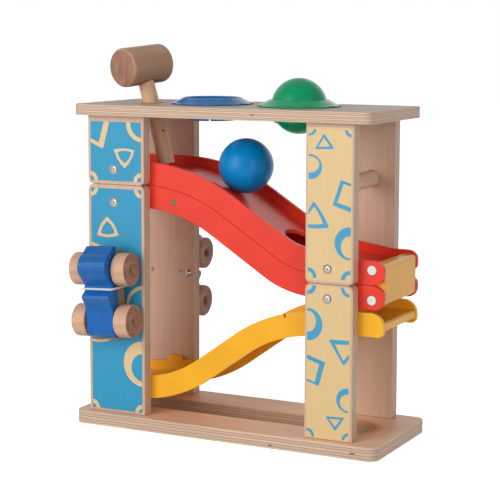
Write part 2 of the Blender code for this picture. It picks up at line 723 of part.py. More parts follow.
def ball(name, centre, slot):
    form = bmesh.new()
    bmesh.ops.create_uvsphere(form, u_segments=28, v_segments=18, radius=BALL_RADIUS)
    mesh = bpy.data.meshes.new(name)
    form.to_mesh(mesh)
    form.free()
    made = object_from(mesh, name, Matrix.Translation(centre))
    smooth(made)
    return finish_part(made, name, slot)


def balls():
    ball("blue_ball", rolled_place(), "blue_paint")
    ball("green_ball", (RING_X[1], 0, TOWER_HEIGHT + BALL_RISE), "green_paint")


def handle_up():
    lean = math.radians(HANDLE_LEAN)
    return Vector((-math.sin(lean), 0, math.cos(lean)))


def handle_toe():
    """Middle of the handle's lower end, whose rim stands on the upper ramp's floor."""
    floor = LEFT_SPLIT + GAP / 2 + RAMP_HEIGHT - BALL_SIDE_DEPTH
    return Vector((LEFT_X[1] - HANDLE_TOE_INSET, 0, floor + 2 * GAP - HANDLE_RADIUS * handle_up().x))


def handle_x(height):
    toe = handle_toe()
    return toe.x + handle_up().x / handle_up().z * (height - toe.z)


def mallet():
    """A turned head on a round handle that leans through its hole."""
    up = handle_up()
    toe = handle_toe()
    middle = toe + up * ((TOWER_HEIGHT - toe.z) / up.z + HEAD_ABOVE_BOARD)
    handle_top = middle + up * HANDLE_IN_HEAD
    handle = cylinder("mallet_handle", HANDLE_RADIUS, toe, handle_top)
    bevel(handle, HANDLE_RADIUS / 12, 1)
    finish_part(handle, "mallet_handle", "birch")

    r, half, c = HEAD_RADIUS, HEAD_LENGTH / 2, HEAD_CHAMFER
    head = turned("mallet_head", [(0.0, half), (r - c, half), (r - c / 3, half - c / 3), (r, half - c),
                                  (r, -half + c), (r - c / 3, -half + c / 3), (r - c, -half),
                                  (0.0, -half)], 32)
    side = Vector((0, 1, 0))
    axis = Matrix.Rotation(-math.radians(HEAD_TURN), 4, up) @ side
    turn = Vector((0, 0, 1)).rotation_difference(axis).to_matrix().to_4x4()
    head.matrix_world = Matrix.Translation(middle) @ turn
    socket = cylinder("mallet_socket", HANDLE_RADIUS + RUNNING, middle - up * HEAD_RADIUS * 2,
                      handle_top + up * GAP)
    cut(head, cutter(socket))
    smooth(head)
    finish_part(head, "mallet_head", "beech")


def car_place(colour):
    """Matrix from a car's own axes, with Y away from its panel, to the world."""
    side = -1 if colour == "blue" else 1
    x = sum(LEFT_X) / 2 + CAR_SHIFT[colour]
    move = Matrix.Translation((x, side * PANEL_OUT, CAR_AXLE_Z))
    lean = Matrix.Rotation(math.radians(CAR_LEAN[colour]), 4, "Y")
    face = Matrix.Rotation(math.radians(180 if colour == "blue" else 0), 4, "Z")
    return move @ lean @ face


def car_profile():
    """Side view of the painted body, as (distance from the panel, height above the axles' middle)."""
    back, waist = CHASSIS_FRONT + GAP, CORD_RISE
    brow = arc(CAR_BROW, CAR_BROW_RADIUS, 75, -22, 6)
    nose_middle = (CAR_BONNET[1][0] - CAR_NOSE_RADIUS, CAR_NOSE_RADIUS - CAR_TAIL)
    nose = arc(nose_middle, CAR_NOSE_RADIUS, 0, -90, 4)
    points = [(back, CAR_ROOF), (CAR_ROOF_DEPTH, CAR_ROOF)] + brow
    points += [(WAIST_DEPTH, waist + rise) for rise in CAR_WAIST]
    return points + list(CAR_PEAK) + list(CAR_BONNET) + nose + [(back, -CAR_TAIL)]


def car_slab(name, place, outline):
    """A plank as wide as the car, in the car's own axes."""
    made = slab(name, outline, CAR_HALF_WIDTH, upright=True)
    made.matrix_world = place @ Matrix.Rotation(math.radians(90), 4, "Z") @ made.matrix_world
    bevel(made, CAR_EDGE, 1, 60.0)
    return made


def car(colour, slot):
    """A car: a painted body on a natural strip, and two axles that each carry two wheels."""
    place = car_place(colour)
    body = car_slab(f"{colour}_car_body", place, car_profile())
    finish_part(body, f"{colour}_car_body", slot)
    strip_outline = rounded_box((CHASSIS_BACK, -CHASSIS_HALF_LENGTH),
                                (CHASSIS_FRONT, CHASSIS_HALF_LENGTH), [CAR_EDGE] * 4, 2)
    chassis = car_slab(f"{colour}_car_chassis", place, strip_outline)
    axle_out = WHEEL_RADIUS + GAP
    for end, z in (("top", AXLE_SPACING / 2), ("bottom", -AXLE_SPACING / 2)):
        reach = CAR_HALF_WIDTH + WHEEL_SIDE_GAP + WHEEL_WIDTH
        ends = [place @ Vector((s * (reach - AXLE_RECESS), axle_out, z)) for s in (-1, 1)]
        past = [place @ Vector((s * reach, axle_out, z)) for s in (-1, 1)]
        bore = cutter(cylinder(f"{colour}_{end}_bore", AXLE_RADIUS + RUNNING, *past, 20))
        cut(body, bore)
        cut(chassis, bore)
        axle = cylinder(f"{colour}_{end}_axle", AXLE_RADIUS, *ends, 20)
        finish_part(axle, f"{colour}_{end}_axle", "birch")
        for hand, s in (("left", -1), ("right", 1)):
            wheel_at(colour, end, hand, place, s, z, axle_out)
    finish_part(chassis, f"{colour}_car_chassis", "birch")


def wheel_at(colour, end, hand, place, s, z, axle_out):
    """One wooden wheel, named by the side of the bench's front view that it is on."""
    if colour == "blue":
        hand = {"left": "right", "right": "left"}[hand]
    r, half, c, bore = WHEEL_RADIUS, WHEEL_WIDTH / 2, WHEEL_CHAMFER, AXLE_RADIUS + GAP
    profile = [(bore, half), (r - c, half), (r, half - c), (r, -half + c), (r - c, -half), (bore, -half)]
    name = f"{colour}_{end}_{hand}_wheel"
    wheel = turned(name, profile, 28)
    middle = CAR_HALF_WIDTH + WHEEL_SIDE_GAP + half
    wheel.matrix_world = (place @ Matrix.Translation((s * middle, axle_out, z))
                          @ Matrix.Rotation(math.radians(90), 4, "Y"))
    smooth(wheel)
    finish_part(wheel, name, "beech")


def cord_route():
    """Corner points of the elastic in the car's own axes, from one anchor to the other."""
    side = CAR_HALF_WIDTH + GAP + CORD_RADIUS
    front = WAIST_DEPTH + GAP + CORD_RADIUS
    inside = -PANEL_THICK - GAP - CORD_RADIUS
    end = side + CORD_END
    half = [(end, inside), (side, inside), (side, front)]
    return half + [(-u, v) for u, v in reversed(half)]


def cord_points():
    """The elastic's middle line, with its corners rounded."""
    corners = cord_route()
    flat = route(corners, [CORD_BEND] * (len(corners) - 2))
    return [Vector((p.x, p.y, CORD_RISE)) for p, _ in flat]


def elastic(colour, sides):
    """The white elastic that holds a car, its two anchor screws and the panel holes it goes through."""
    place = car_place(colour)
    name = "front_left_lower_panel" if colour == "blue" else "rear_left_lower_panel"
    curve = bpy.data.curves.new(f"{colour}_elastic", "CURVE")
    curve.dimensions = "3D"
    curve.bevel_depth = CORD_RADIUS
    curve.bevel_resolution = 2
    curve.use_fill_caps = True
    spline = curve.splines.new("POLY")
    points = [place @ point for point in cord_points()]
    spline.points.add(len(points) - 1)
    for slot, point in zip(spline.points, points):
        slot.co = (*point, 1.0)
    cord = to_mesh(object_from(curve, f"{colour}_elastic"), f"{colour}_elastic")
    smooth(cord)
    finish_part(cord, f"{colour}_elastic", "elastic")

    side = CAR_HALF_WIDTH + GAP + CORD_RADIUS
    end = cord_route()[0][0]
    for hand, s in (("a", -1), ("b", 1)):
        ends = [place @ Vector((s * side, y, CORD_RISE)) for y in (-PANEL_THICK - HOLE_MARGIN, HOLE_MARGIN)]
        cut(sides[name], cutter(cylinder(f"{colour}_cord_hole_{hand}", CORD_RADIUS + 2 * RUNNING, *ends, 12)))
        at = end + ANCHOR_GAP + ANCHOR_HEAD
        anchor = turned(f"{colour}_anchor_{hand}", anchor_profile(), 16)
        anchor.matrix_world = (place @ Matrix.Translation((s * at, -PANEL_THICK - GAP, CORD_RISE))
                               @ Matrix.Rotation(math.radians(90), 4, "X"))
        smooth(anchor)
        finish_part(anchor, f"{colour}_anchor_{hand}", "steel")
        hole = [place @ Vector((s * at, y, CORD_RISE)) for y in (-PANEL_THICK - HOLE_MARGIN,
                                                              -PANEL_THICK + ANCHOR_LENGTH)]
        cut(sides[name], cutter(cylinder(f"{colour}_anchor_hole_{hand}", SCREW_SHANK + RUNNING, *hole, 12)))


def anchor_profile():
    """A round head on a washer, with its shank, head up."""
    r, h, shank = ANCHOR_HEAD, ANCHOR_RISE, SCREW_SHANK
    return [(0.0, h), (r * 0.55, h), (r * 0.8, h * 0.6), (r, h * 0.35), (r, 0.0), (shank, 0.0),
            (shank, -ANCHOR_LENGTH + 2 * GAP), (0.0, -ANCHOR_LENGTH + 2 * GAP)]


def screw_profile(length):
    """A countersunk wood screw, head up, whose face is at height 0."""
    r, shank = SCREW_HEAD, SCREW_SHANK
    return [(0.0, 0.0), (r, 0.0), (shank, -(r - shank)), (shank, -length), (0.0, -length)]


def screw(name, head, inward, length, woods):
    """A countersunk screw, sunk just below the face it enters, with its hole in each wood it joins."""
    inward = Vector(inward).normalized()
    start = Vector(head) + inward * GAP / 2
    made = turned(name, screw_profile(length), 16)
    turn = Vector((0, 0, -1)).rotation_difference(inward).to_matrix().to_4x4()
    made.matrix_world = Matrix.Translation(start) @ turn
    smooth(made)
    finish_part(made, name, "steel")
    reach = SCREW_HEAD - SCREW_SHANK
    hole = cylinder(f"{name}_hole", SCREW_SHANK + RUNNING, start - inward * HOLE_MARGIN,
                    start + inward * (length + GAP), 16)
    rim = SCREW_HEAD + 2 * RUNNING
    sink = cylinder(f"{name}_sink", rim + HOLE_MARGIN, start - inward * HOLE_MARGIN,
                    start + inward * (reach + RUNNING), 16, SCREW_SHANK + RUNNING)
    cutter(hole)
    cutter(sink)
    cut(woods[0], sink)
    for wood in woods:
        cut(wood, hole)


def ramp_screws(sides, ramps):
    """The screws through the panels into the red ramps, one at each end of each side wall."""
    for unit in ("lower", "upper"):
        for end, place, span, split in (("left", LEFT_SCREWS, LEFT_X, LEFT_SPLIT),
                                        ("right", RIGHT_SCREWS, RIGHT_X, RIGHT_SPLIT)):
            for side_name, side in (("front", -1), ("rear", 1)):
                head = (sum(span) / 2 + place["across"], side * PANEL_OUT, split + place[unit])
                screw(f"{unit}_{end}_{side_name}_screw", head, (0, -side, 0),
                      SCREW_LENGTH, [sides[f"{side_name}_{end}_{unit}_panel"], ramps[unit]])


def side_rivet(ramp):
    """A small round rivet through the lower ramp's front wall."""
    x = LEFT_X[1] + SIDE_RIVET_PAST
    z = between(meeting_line(RAMP_START, PIN_X), x, -SIDE_RIVET_DROP)
    outer, inner = -RAMP_HALF, -RAMP_HALF + RAMP_WALL
    shank = SIDE_RIVET_HEAD * 0.6
    rise, head = SIDE_RIVET_RISE, SIDE_RIVET_HEAD
    profile = [(0.0, rise + GAP), (head * 0.7, rise + GAP), (head, GAP), (shank, GAP),
               (shank, -RAMP_WALL), (0.0, -RAMP_WALL)]
    rivet = turned("side_rivet", profile, 16)
    rivet.matrix_world = (Matrix.Translation((x, outer, z))
                          @ Matrix.Rotation(math.radians(90), 4, "X"))
    smooth(rivet)
    finish_part(rivet, "side_rivet", "steel")
    cut(ramp, cutter(cylinder("side_rivet_hole", shank + RUNNING, (x, outer - HOLE_MARGIN, z),
                              (x, inner + HOLE_MARGIN, z), 16)))


def base_screws(sides, base):
    """The screws that go up through the base into the four lower panels."""
    for side_name, side in (("front", -1), ("rear", 1)):
        for end, span in (("left", LEFT_X), ("right", RIGHT_X)):
            spot = (sum(span) / 2, side * (PANEL_IN + PANEL_THICK / 2), 0.0)
            screw(f"base_{end}_{side_name}_screw", spot, (0, 0, 1), FOOT_SCREW_LENGTH,
                  [base, sides[f"{side_name}_{end}_lower_panel"]])


def build():
    base, top = boards()
    sides = panels()
    ramps = {unit: red_ramp(unit) for unit in ("lower", "upper")}
    return_ramp()
    peg_holes(sides)
    hinge()
    cross_dowel(sides)
    ring("blue_ring", RING_X[0], "blue_plastic")
    ring("green_ring", RING_X[1], "green_plastic")
    balls()
    mallet()
    for colour in ("blue", "green"):
        car(colour, f"{colour}_paint")
        elastic(colour, sides)
    ramp_screws(sides, ramps)
    side_rivet(ramps["lower"])
    base_screws(sides, base)


clear_scene()
PARTS = new_collection("pounding_bench")
CUTTERS = new_collection("cutters")
build()
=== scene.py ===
"""Looks of the folding pound-and-race tower: finishes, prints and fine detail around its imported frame.

Metres, in the frame's own axes: +Z up, X to the right, the front towards -Y.
"""
import json
import math

import bmesh
import bpy
from mathutils import Matrix, Vector

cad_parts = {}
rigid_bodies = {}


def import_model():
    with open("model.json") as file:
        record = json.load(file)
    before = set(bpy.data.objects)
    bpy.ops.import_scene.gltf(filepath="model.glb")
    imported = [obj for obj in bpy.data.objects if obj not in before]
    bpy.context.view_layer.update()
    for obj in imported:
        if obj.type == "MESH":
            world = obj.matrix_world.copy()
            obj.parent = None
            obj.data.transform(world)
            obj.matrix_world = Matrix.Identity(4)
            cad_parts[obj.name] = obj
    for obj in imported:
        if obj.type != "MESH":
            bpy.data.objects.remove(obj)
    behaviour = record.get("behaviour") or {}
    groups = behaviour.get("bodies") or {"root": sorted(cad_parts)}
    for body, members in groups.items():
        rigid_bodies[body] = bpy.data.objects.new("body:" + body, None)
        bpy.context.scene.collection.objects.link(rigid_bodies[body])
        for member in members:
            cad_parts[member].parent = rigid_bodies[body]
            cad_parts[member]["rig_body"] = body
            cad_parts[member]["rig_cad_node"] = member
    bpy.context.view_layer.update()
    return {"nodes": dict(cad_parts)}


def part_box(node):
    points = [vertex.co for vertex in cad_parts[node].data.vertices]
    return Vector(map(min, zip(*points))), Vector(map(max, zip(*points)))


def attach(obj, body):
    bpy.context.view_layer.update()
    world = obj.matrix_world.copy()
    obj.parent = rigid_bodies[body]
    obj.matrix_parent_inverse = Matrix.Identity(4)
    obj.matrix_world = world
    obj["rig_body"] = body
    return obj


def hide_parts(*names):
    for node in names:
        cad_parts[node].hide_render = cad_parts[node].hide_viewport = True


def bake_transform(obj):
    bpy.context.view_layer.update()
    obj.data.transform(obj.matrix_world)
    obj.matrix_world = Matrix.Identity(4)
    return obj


# Sizes that go with the frame's
GAP = 0.0003
BALL_RADIUS = 0.0249           # 0.1 mm inside the frame's, so that the balls never touch
HEAD_RADIUS = 0.018
HEAD_LENGTH = 0.050
HEAD_TURN = 17.0
HANDLE_LEAN = 16.33
HANDLE_RADIUS = 0.0075
HANDLE_IN_HEAD = 0.009
HEAD_ARRIS = 0.0038            # rounding of the mallet head's rims
WHEEL_RADIUS = 0.015
WHEEL_WIDTH = 0.0142
WHEEL_BORE = 0.0043
SCREW_HEAD = 0.0037
SCREW_FACE = 0.0028            # the head that shows, inside its countersink
SCREW_SHANK = 0.0015
PIN_RADIUS = 0.0042
SLOT_HALF = 0.0185
SLOT_MIDDLE = 0.1055           # where the slot's middle line ends
BASE_BETWEEN = (0.0, 0.012)    # the lowest and highest Z of the base, then of the top board
TOP_BETWEEN = (0.285, 0.295)
PANEL_BETWEEN = (0.0410, 0.0520)  # how far the panels' two faces are from the middle plane

# Hollows in the wood, each a centre and its half sizes
BASE_VOIDS = (((0.0512, -0.06, 0.0030), (0.0022, 0.004, 0.0007)),
              ((0.1289, -0.06, 0.0056), (0.0030, 0.004, 0.0008)))
TOP_VOIDS = (((0.0330, -0.06, 0.2900), (0.0026, 0.004, 0.0005)),
             ((0.1070, -0.0490, 0.295), (0.0038, 0.0016, 0.002)))
HANDLE_KNOTS = (((0.0070, 0.0020, -0.0160), (0.0014, 0.0014, 0.0015)),
                ((0.0068, -0.0032, -0.0208), (0.0013, 0.0013, 0.0014)))

# Camera and light
CAMERA_PLACE = (0.63637, -1.256622, 0.367148)
CAMERA_YAW = 0.468157
CAMERA_PITCH = 0.111659
CAMERA_ROLL = 0.002633
CAMERA_LENS = 112.8974
CAMERA_SHIFT = -0.1
FLOOR_RADIUS = 6.0
FLOOR_DROP = 0.0002            # below the feet, so that the two planes don't flicker
FLOOR_GLOW = 0.9
WORLD_LIGHT = (0.44, 0.12)     # at the horizon and overhead
OVERHEAD_FROM = 0.8            # the height in the sky from which it counts as overhead
LAMP_TARGET = (0, 0, 0.15)
LAMPS = (("key", (-0.7, -1.75, 0.75), 1.5, 24.0),   # name, place, size, watts
         ("fill", (1.6, -0.9, 0.5), 1.2, 9.0),
         ("back", (0.2, 1.9, 1.0), 1.8, 5.0))

# Prints: their thickness, and how far their ground and lines lie before the panels
PRINT_THICK = 0.00008
GROUND_LIFT = 0.00005
LINE_LIFT = 0.00016
SHAPE_STEP = 0.000002          # between the shapes of one print, so that none shares a plane

# Colours, as seen on screen
BIRCH = (222, 192, 166)
BIRCH_DARK = (204, 170, 146)
# Painted shade: a darker, greyer copy of the birch veneer for the top board, so that its upward face comes out
# dimmer
BIRCH_TOP_SHADED = (190, 168, 150)
# Painted light: a brighter copy of the birch veneer for the base, lifting its top where the ramps and panels
# shade it
BIRCH_BASE_LIT = (250, 207, 174)
# Painted shade: a darker, redder copy of the birch veneer for the panels, for the shade on their inner faces
BIRCH_PANEL_SHADED = (216, 179, 153)
# An orange tint on the veneer round the right end of the base's slot
SLOT_END_TINT = (220, 138, 50)
# Painted shade on the plies of the base slot's walls
SLOT_WALL_SHADE = (150, 90, 54)
PLY_CUT = (210, 182, 158)
PLY_GLUE = (116, 82, 62)
BEECH_DARK = (168, 122, 92)
END_GRAIN = (168, 121, 97)
HANDLE_PALE = (232, 188, 152)
HANDLE_DARK = (204, 156, 120)
MALLET_PALE = (186, 146, 118)
MALLET_DARK = (158, 116, 90)
WHEEL_PALE = (216, 174, 144)
WHEEL_DARK = (178, 132, 104)
DOWEL_PALE = (222, 190, 158)
DOWEL_DARK = (186, 146, 114)
# The chassis strips' natural wood, darkened as painted shade for the gap between the car bodies and the panel
CHASSIS_SHADED_PALE = (160, 124, 92)
CHASSIS_SHADED_DARK = (130, 96, 70)
# The axles' birch, darkened to a deep brown as painted shade in the wheels' bores
AXLE_SHADED_PALE = (108, 74, 52)
AXLE_SHADED_DARK = (84, 56, 40)
PRINT_BLUE = (44, 150, 190)
PRINT_SAND = (226, 196, 142)
LINE_SAND = (228, 196, 146)
LINE_BLUE = (66, 158, 200)
RED = (238, 62, 44)
YELLOW = (253, 184, 40)
OCHRE = (246, 178, 64)
RING_BLUE = (40, 118, 182)
RING_GREEN = (0, 166, 112)
BALL_BLUE = (0, 136, 206)
BALL_GREEN = (0, 158, 106)
CAR_BLUE = (22, 102, 178)
CAR_GREEN = (0, 146, 92)
STEEL = (198, 196, 194)
PIN_WHITE = (232, 232, 228)
ELASTIC = (240, 240, 240)
VOID = (58, 38, 28)

AXES = {"X": (1, 0, 0), "Y": (0, 1, 0), "Z": (0, 0, 1)}


def linear(colour):
    """A screen colour out of 255 as the linear values that shaders take."""
    values = [c / 255 for c in colour]
    return (*[v / 12.92 if v <= 0.04045 else ((v + 0.055) / 1.055) ** 2.4 for v in values], 1.0)


def darker(colour, share):
    return tuple(c * share for c in colour)


class Graph:
    """A material's nodes. add() makes a node and sets its inputs to values or to other outputs."""

    def __init__(self, name, roughness=0.5, gloss=0.3):
        self.material = bpy.data.materials.new(name)
        self.material.use_nodes = True
        self.tree = self.material.node_tree
        self.shader = self.tree.nodes["Principled BSDF"]
        self.shader.inputs["Roughness"].default_value = roughness
        self.shader.inputs["Specular IOR Level"].default_value = gloss
        self.place = self.add("TexCoord").outputs["Object"]

    def add(self, kind, inputs=None, **settings):
        node = self.tree.nodes.new("ShaderNode" + kind)
        for name, value in settings.items():
            setattr(node, name, value)
        for name, value in (inputs or {}).items():
            self.wire(node.inputs[name], value)
        return node

    def wire(self, socket, value):
        if isinstance(value, bpy.types.NodeSocket):
            self.tree.links.new(value, socket)
        else:
            socket.default_value = value

    def math(self, operation, a, b=0.0):
        return self.add("Math", {0: a, 1: b}, operation=operation).outputs[0]

    def mix(self, factor, a, b, blend="MIX"):
        node = self.add("Mix", {"Factor": factor}, data_type="RGBA", blend_type=blend)
        self.wire(node.inputs[6], a)
        self.wire(node.inputs[7], b)
        return node.outputs[2]

    def mottle(self, factor, colour, share):
        """A colour that drifts towards a darker share of itself."""
        return self.mix(factor, linear(colour), linear(darker(colour, share)))

    def finish(self, colour):
        self.wire(self.shader.inputs["Base Color"], colour)

    def noise(self, scale, stretch=(1, 1, 1), detail=3.0, distortion=0.0):
        mapped = self.add("Mapping", {"Vector": self.place, "Scale": stretch})
        node = self.add("TexNoise", {"Vector": mapped.outputs[0], "Scale": scale, "Detail": detail,
                                     "Distortion": distortion})
        return node.outputs["Fac"]

    def span(self, value, low, high, to_low=0.0, to_high=1.0):
        return self.add("MapRange", {"Value": value, "From Min": low, "From Max": high,
                                     "To Min": to_low, "To Max": to_high}).outputs[0]

    def soft_edges(self, radius, height=None, strength=0.2, distance=0.0002):
        """Rounded edge shading, with a fine relief where a height is given."""
        normal = self.add("Bevel", {"Radius": radius}, samples=6).outputs[0]
        if height is not None:
            bump = self.add("Bump", {"Height": height, "Strength": strength, "Distance": distance,
                                     "Normal": normal})
            normal = bump.outputs[0]
        self.wire(self.shader.inputs["Normal"], normal)


def along(axis, slow, fast):
    """Texture stretch that draws streaks along one axis."""
    return tuple(slow if on else fast for on in AXES[axis])


def fibres(graph, axis, pale, dark, seed=0.0):
    """Colour of planed wood: fine fibres, broader figure and a slow drift, all along one axis."""
    fine = graph.span(graph.noise(1.0, along(axis, 14, 900), 4.0), 0.36, 0.66)
    broad = graph.noise(1.0, along(axis, 5 + seed, 120), 3.0, 0.6)
    drift = graph.noise(1.0, along(axis, 6, 22 + seed), 1.0)
    colour = graph.mix(graph.span(broad, 0.40, 0.72, 0.0, 0.55), linear(pale), linear(dark))
    colour = graph.mix(graph.math("MULTIPLY", fine, 0.22), colour, linear(dark))
    shade = graph.span(drift, 0.3, 0.7, 0.93, 1.05)
    return graph.mix(1.0, colour, graph.add("CombineColor", {0: shade, 1: shade, 2: shade}).outputs[0],
                     "MULTIPLY"), fine


def voids(graph, colour, spots):
    """Small dark hollows in the veneer, each a centre with its half sizes."""
    for centre, half in spots:
        moved = graph.add("VectorMath", {0: graph.place, 1: centre}, operation="SUBTRACT").outputs[0]
        scaled = graph.add("VectorMath", {0: moved, 1: half}, operation="DIVIDE").outputs[0]
        reach = graph.add("VectorMath", {0: scaled}, operation="LENGTH").outputs["Value"]
        ragged = graph.math("ADD", reach, graph.span(graph.noise(900.0), 0.3, 0.7, -0.3, 0.3))
        colour = graph.mix(graph.span(ragged, 0.7, 1.0, 0.9, 0.0), colour, linear(VOID))
    return colour


def slot_shade_and_tint(graph, colour, axes, skin):
    """Paints shade on the plies inside the base's slot, and tints the veneer orange round its right end."""
    middle = graph.math("MAXIMUM", graph.math("MINIMUM", axes[0], SLOT_MIDDLE), -SLOT_MIDDLE)
    across = graph.math("POWER", graph.math("SUBTRACT", axes[0], middle), 2.0)
    reach = graph.math("SQRT", graph.math("ADD", across, graph.math("POWER", axes[1], 2.0)))
    halo = graph.math("MULTIPLY", graph.span(reach, SLOT_HALF + 0.009, SLOT_HALF + 0.001, 0.0, 0.85),
                      graph.span(axes[0], 0.085, 0.105))
    colour = graph.mix(graph.math("MULTIPLY", halo, skin), colour, linear(SLOT_END_TINT))
    # Painted shade on the slot's walls
    return graph.mix(graph.span(reach, SLOT_HALF + 0.0005, SLOT_HALF + 0.0002, 0.0, 0.45), colour,
                     linear(SLOT_WALL_SHADE))


def plywood(name, depth_axis, depths, grain_axis, plies, veneer, spots=(), seed=0.0, glue_width=0.2,
            slotted=False):
    """Birch plywood: veneer on its two faces, and stacked plies wherever the board is cut."""
    graph = Graph(name, 0.48)
    long_grain, fine = fibres(graph, grain_axis, BIRCH, BIRCH_DARK, seed)
    axes = graph.add("SeparateXYZ", {0: graph.place}).outputs
    depth = graph.math("ABSOLUTE", axes[depth_axis])
    slack = (depths[1] - depths[0]) * 0.03
    layer = graph.span(depth, depths[0] - slack, depths[1] + slack, 0.0, float(plies))
    wander = graph.span(graph.noise(60.0, (1, 1, 1), 2.0), 0.3, 0.7, -0.10, 0.10)
    inner = graph.math("GREATER_THAN", graph.math("MULTIPLY", graph.span(layer, 0, plies, 0, 1),
                                                  graph.span(layer, 0, plies, 1, 0)), 0.1)
    moved = graph.math("ADD", layer, graph.math("MULTIPLY", wander, inner))
    odd = graph.math("MODULO", graph.math("FLOOR", moved), 2.0)
    speckle = graph.span(graph.noise(1400.0, (1, 1, 1), 2.0), 0.3, 0.7, 0.0, 1.0)
    end_grain = graph.mottle(speckle, PLY_CUT, 0.93)
    seam = graph.math("ABSOLUTE", graph.math("SUBTRACT", graph.math("FRACT", moved), 0.5))
    glue = graph.math("MULTIPLY", graph.math("GREATER_THAN", seam, 0.5 - glue_width / 2), inner)
    colour = graph.mix(odd, long_grain, end_grain)
    # Each board's veneer colour is a copy of birch with painted light in the base's, and painted shade in the
    # top board's and the panels'
    outer = fibres(graph, grain_axis, veneer, darker(veneer, 0.9), seed)[0]
    middle = graph.math("SUBTRACT", depth, (depths[0] + depths[1]) / 2)
    skin = graph.math("GREATER_THAN", graph.math("ABSOLUTE", middle), (depths[1] - depths[0]) / 2 - 0.0002)
    colour = graph.mix(skin, colour, outer)
    colour = graph.mix(graph.math("MULTIPLY", glue, 0.85), colour, linear(PLY_GLUE))
    if slotted:
        colour = slot_shade_and_tint(graph, colour, axes, skin)
    graph.finish(voids(graph, colour, spots))
    graph.wire(graph.shader.inputs["Roughness"], graph.span(fine, 0, 1, 0.40, 0.58))
    graph.soft_edges(0.0007, fine, 0.12, 0.0001)
    return graph.material


def timber(name, axis, pale, dark, spots=(), ends=None):
    """Solid turned wood with its grain along one axis, and end grain beyond a distance along Z."""
    graph = Graph(name, 0.45)
    colour, fine = fibres(graph, axis, pale, dark)
    if ends:
        reach = graph.math("ABSOLUTE", graph.add("SeparateXYZ", {0: graph.place}).outputs[2])
        speckle = graph.span(graph.noise(260.0, (1, 0.25, 0.1), 3.0), 0.38, 0.62, 0.0, 0.8)
        cut_face = graph.mottle(speckle, END_GRAIN, 0.80)
        colour = graph.mix(graph.span(reach, ends - 0.0006, ends - 0.0002), colour, cut_face)
    pores = graph.noise(1.0, along(axis, 120, 1500), 1.0)
    colour = graph.mix(graph.span(pores, 0.66, 0.74, 0.0, 0.35), colour, linear(BEECH_DARK))
    graph.finish(voids(graph, colour, spots))
    graph.wire(graph.shader.inputs["Roughness"], graph.span(fine, 0, 1, 0.36, 0.55))
    graph.soft_edges(0.0006, pores, 0.15, 0.0001)
    return graph.material


def moulded(name, colour, roughness=0.30, edge=0.0009):
    """Moulded plastic with a faint mottle and softly rounded edges."""
    graph = Graph(name, roughness, 0.18)
    clouds = graph.noise(28.0, (1, 1, 1), 1.0)
    graph.finish(graph.mottle(graph.span(clouds, 0.35, 0.65), colour, 0.965))
    graph.soft_edges(edge)
    return graph.material


def painted(name, colour, roughness=0.26, axis="Z"):
    """Paint over wood: the grain shows faintly through its coat."""
    graph = Graph(name, roughness, 0.18)
    grain = graph.noise(1.0, along(axis, 12, 160), 2.0)
    graph.finish(graph.mottle(graph.span(grain, 0.35, 0.7), colour, 0.94))
    graph.soft_edges(0.0009)
    return graph.material


def printed(name, colour):
    """Printing ink on veneer: flat colour with the wood's fibres just visible."""
    graph = Graph(name, 0.42)
    grain = graph.span(graph.noise(1.0, along("Z", 20, 700), 3.0), 0.35, 0.7)
    cloud = graph.span(graph.noise(70.0), 0.3, 0.7, 0.0, 0.5)
    mixed = graph.mottle(graph.math("MULTIPLY", grain, 0.3), colour, 0.9)
    graph.finish(graph.mix(cloud, mixed, linear(colour)))
    graph.soft_edges(0.0001, grain, 0.08, 0.0001)
    return graph.material


def metal(name, colour, roughness=0.3, metallic=1.0):
    """Plated steel, very finely brushed."""
    graph = Graph(name, roughness, 0.5)
    brush = graph.noise(1500.0, (1, 1, 1), 2.0)
    graph.finish(graph.mottle(graph.span(brush, 0.3, 0.7), colour, 0.85))
    graph.shader.inputs["Metallic"].default_value = metallic
    graph.soft_edges(0.0003, brush, 0.05, 0.0001)
    return graph.material


def woven(name, colour):
    """Elastic cord: a fine diagonal braid."""
    graph = Graph(name, 0.75)
    wave = graph.add("TexWave", {"Vector": graph.place, "Scale": 900.0, "Distortion": 1.0},
                     bands_direction="DIAGONAL").outputs["Fac"]
    graph.finish(graph.mottle(wave, colour, 0.82))
    graph.shader.inputs["Sheen Weight"].default_value = 0.2
    graph.soft_edges(0.0002, wave, 0.3, 0.0002)
    return graph.material


def link_object(name, mesh, material=None, matrix=Matrix()):
    obj = bpy.data.objects.new(name, mesh)
    bpy.context.scene.collection.objects.link(obj)
    obj.matrix_world = matrix
    if material:
        mesh.materials.append(material)
    return obj


def from_form(name, form, material, matrix=Matrix(), smooth=True):
    bmesh.ops.recalc_face_normals(form, faces=form.faces)
    mesh = bpy.data.meshes.new(name)
    form.to_mesh(mesh)
    form.free()
    obj = link_object(name, mesh, material, matrix)
    if smooth:
        mesh.shade_smooth()
        mesh.set_sharp_from_angle(angle=math.radians(40))
    return obj


def lathe(name, profile, material, matrix=Matrix(), steps=64, closed=False):
    """(radius, height) points turned about Z into a closed body."""
    form = bmesh.new()
    points = [form.verts.new((radius, 0, height)) for radius, height in profile]
    edges = [form.edges.new(pair) for pair in zip(points, points[1:])]
    if closed:
        edges.append(form.edges.new((points[-1], points[0])))
    bmesh.ops.spin(form, geom=points + edges, cent=(0, 0, 0), axis=(0, 0, 1), angle=math.tau,
                   steps=steps, use_merge=True)
    bmesh.ops.remove_doubles(form, verts=form.verts, dist=0.000002)
    return from_form(name, form, material, matrix)


def round_corner(corner, before, after, radius, steps=4):
    """Points that round one corner of a profile."""
    corner = Vector(corner)
    a, b = (Vector(before) - corner).normalized(), (Vector(after) - corner).normalized()
    start, end = corner + a * radius, corner + b * radius
    return [tuple(start.lerp(corner, t) * (1 - t) + corner.lerp(end, t) * t)
            for t in (i / steps for i in range(steps + 1))]


